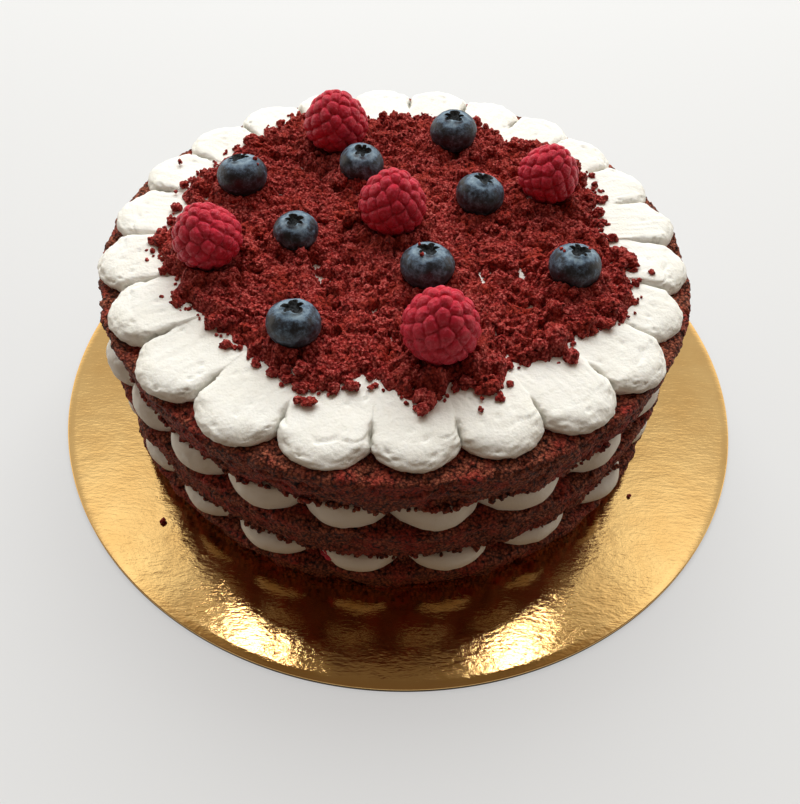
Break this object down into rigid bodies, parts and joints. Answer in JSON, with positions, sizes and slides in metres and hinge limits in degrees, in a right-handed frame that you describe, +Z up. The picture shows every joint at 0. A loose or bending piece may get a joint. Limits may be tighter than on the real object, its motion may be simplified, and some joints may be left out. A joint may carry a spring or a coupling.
{
  "type": "red velvet layer cake on a cake board",
  "caption": "Round red velvet layer cake with cream fillings, piped cream petals, a bed of cake crumbs and fresh berries, on a flat gold cake board.",
  "frame": {"origin": "middle of the cake board's underside, which rests on the table", "axes": "+Z up out of the board, the cake's height; the pictured side faces -Y"},
  "size_m": [0.25, 0.25, 0.0915],
  "materials": {
    "gold_card": "card faced with finely embossed gold foil",
    "sponge": "torn open-pored red cake sponge, matte",
    "cream": "piped whipped cream, soft satin",
    "crumbs": "loose dry red cake crumbs, matte",
    "raspberry": "ripe berry skin with a soft velvety sheen",
    "blueberry": "dark berry skin with a pale waxy bloom"
  },
  "bodies": {
    "root": {"cake_board": "gold_card", "sponge_bottom": "sponge", "cream_lower": "cream", "sponge_middle": "sponge", "cream_middle": "cream", "sponge_top": "sponge", "cream_top": "cream", "crumb_bed": "crumbs", "raspberry_back_left": "raspberry", "raspberry_right": "raspberry", "raspberry_middle": "raspberry", "raspberry_left": "raspberry", "raspberry_front": "raspberry", "raspberry_scrap": "raspberry", "blueberry_back": "blueberry", "blueberry_left": "blueberry", "blueberry_upper": "blueberry", "blueberry_upper_right": "blueberry", "blueberry_middle_left": "blueberry", "blueberry_centre": "blueberry", "blueberry_right": "blueberry", "blueberry_front": "blueberry"}
  },
  "joints": []
}
